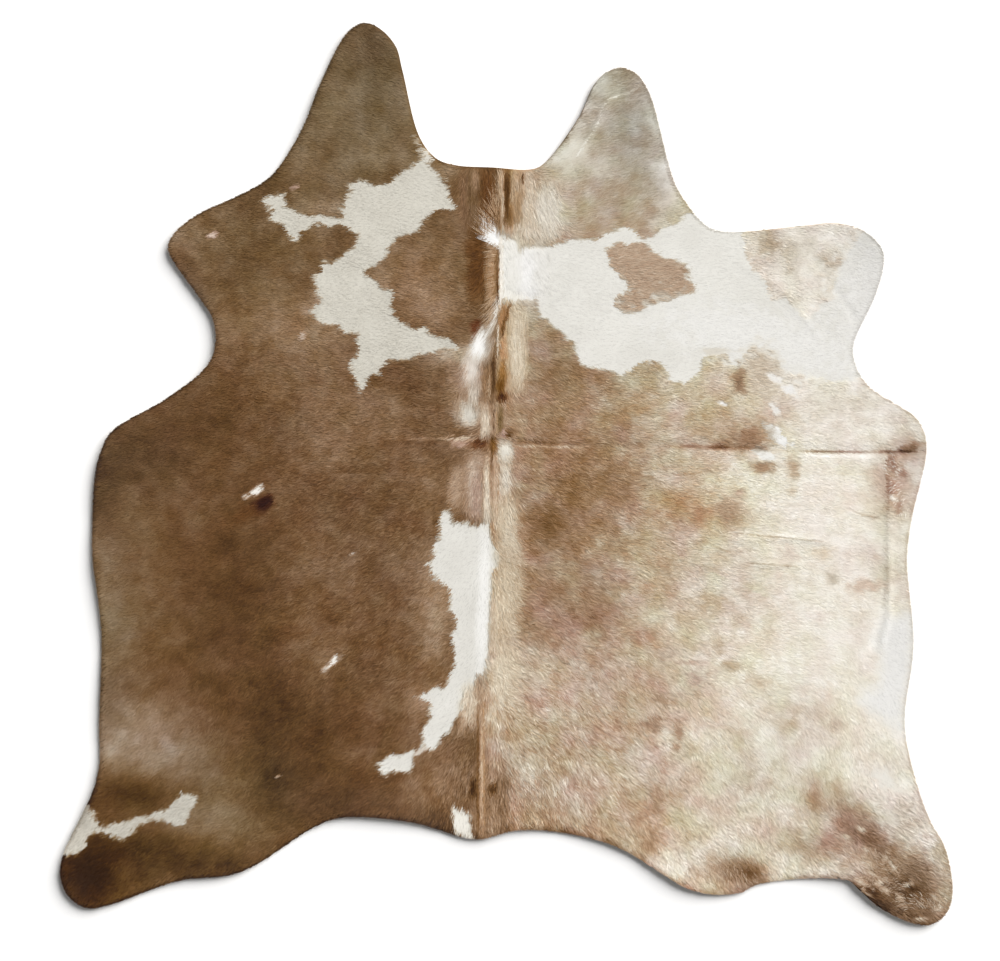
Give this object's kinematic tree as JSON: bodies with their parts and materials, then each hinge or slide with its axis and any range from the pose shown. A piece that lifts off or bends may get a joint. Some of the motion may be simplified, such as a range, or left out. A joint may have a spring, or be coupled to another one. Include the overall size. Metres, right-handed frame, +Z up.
{
  "type": "cowhide rug",
  "caption": "Whole natural cowhide with its hair on, laid flat as a rug, with neck flaps, legs and an uneven cut edge.",
  "frame": {"origin": "on the floor under the middle of the rug's outline box", "axes": "+Z up out of the hair side, +Y along the spine towards the neck, +X towards the rug's right side seen from above"},
  "size_m": [2.0764, 2.0974, 0.0155],
  "materials": {
    "hair_on_hide": "short brown and cream cow hair lying flat, dull with a slight sheen, on a tanned skin"
  },
  "bodies": {
    "root": {"hide": "hair_on_hide"}
  },
  "joints": []
}
